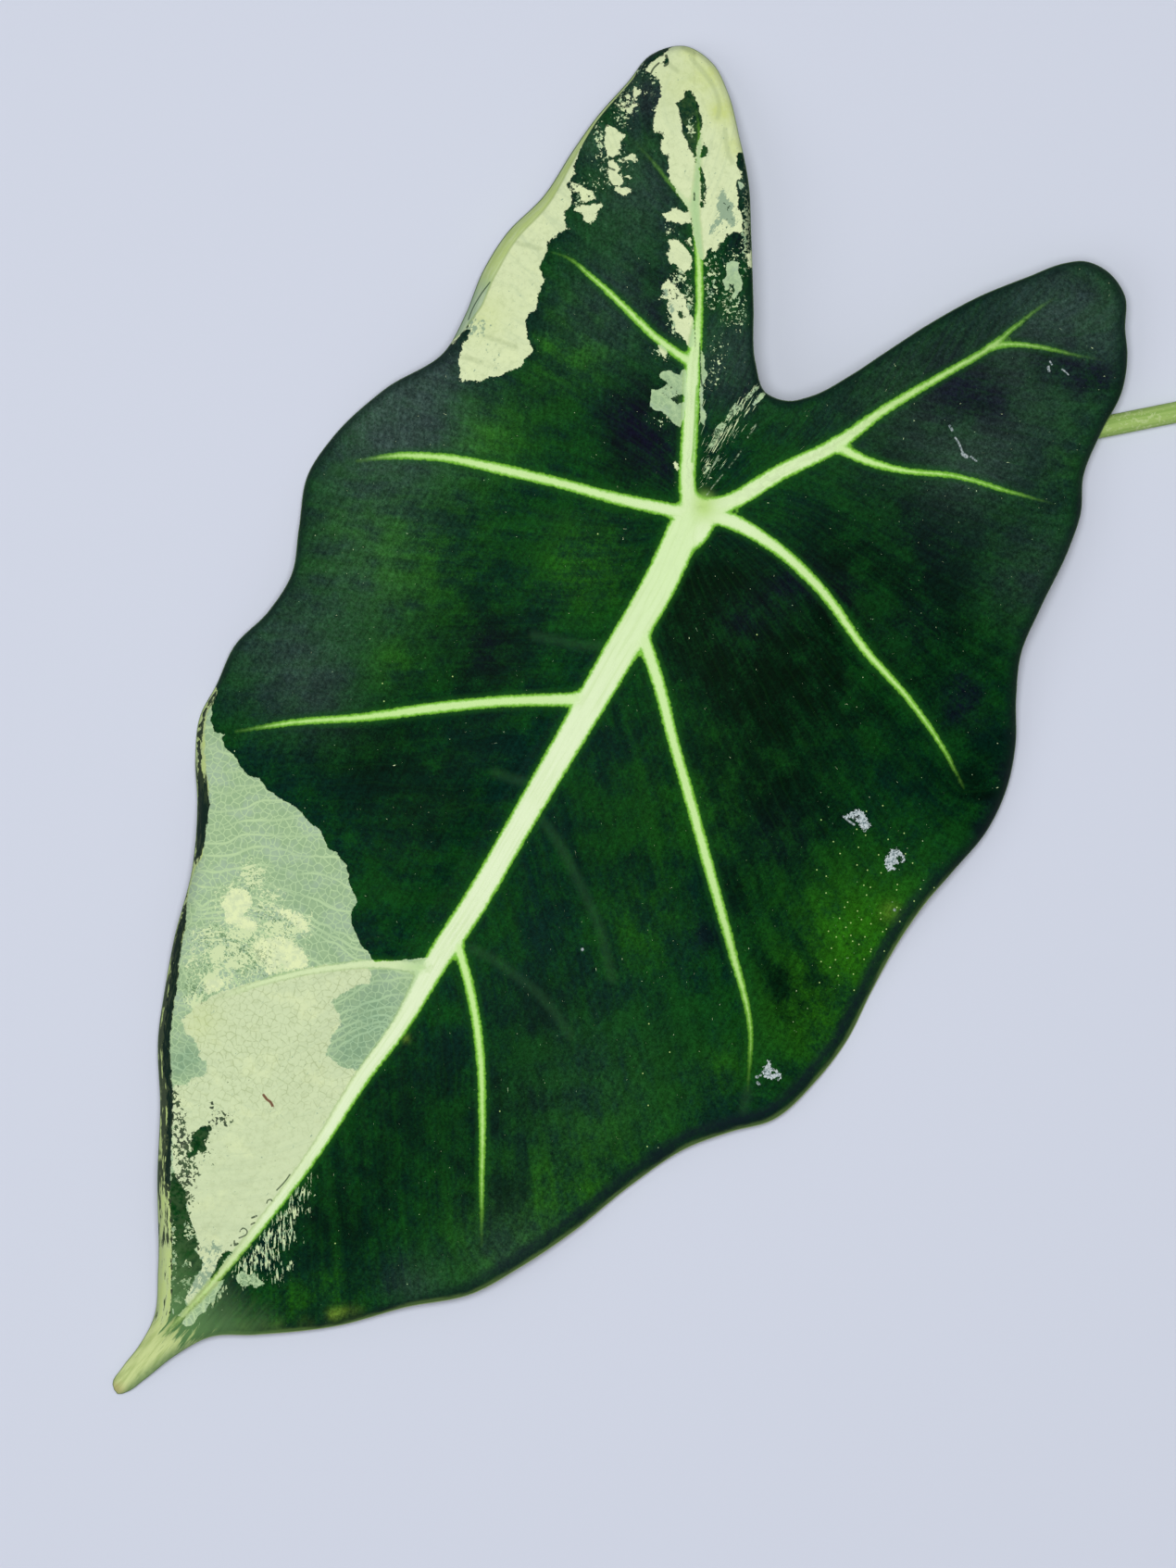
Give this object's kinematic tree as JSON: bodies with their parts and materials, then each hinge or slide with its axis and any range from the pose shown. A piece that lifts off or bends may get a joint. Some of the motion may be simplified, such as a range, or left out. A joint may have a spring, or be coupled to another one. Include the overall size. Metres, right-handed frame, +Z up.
{
  "type": "leaf",
  "caption": "Large arrow-shaped alocasia leaf, dark green with cream variegation, pale ribs and a drip tip, picked with its stalk and lying face up.",
  "frame": {"origin": "centre of the bottom of the whole leaf's box, on the surface that it lies on", "axes": "+Y from the drip tip along the midrib towards the lobes, +Z up out of the blade's upper face"},
  "size_m": [0.2539, 0.3921, 0.0184],
  "materials": {
    "leaf_blade": "velvety dark green lamina with cream and mint patches, pale ribs",
    "petiole": "smooth pale green stalk"
  },
  "bodies": {
    "root": {"leaf_blade": "leaf_blade", "petiole": "petiole"}
  },
  "joints": []
}
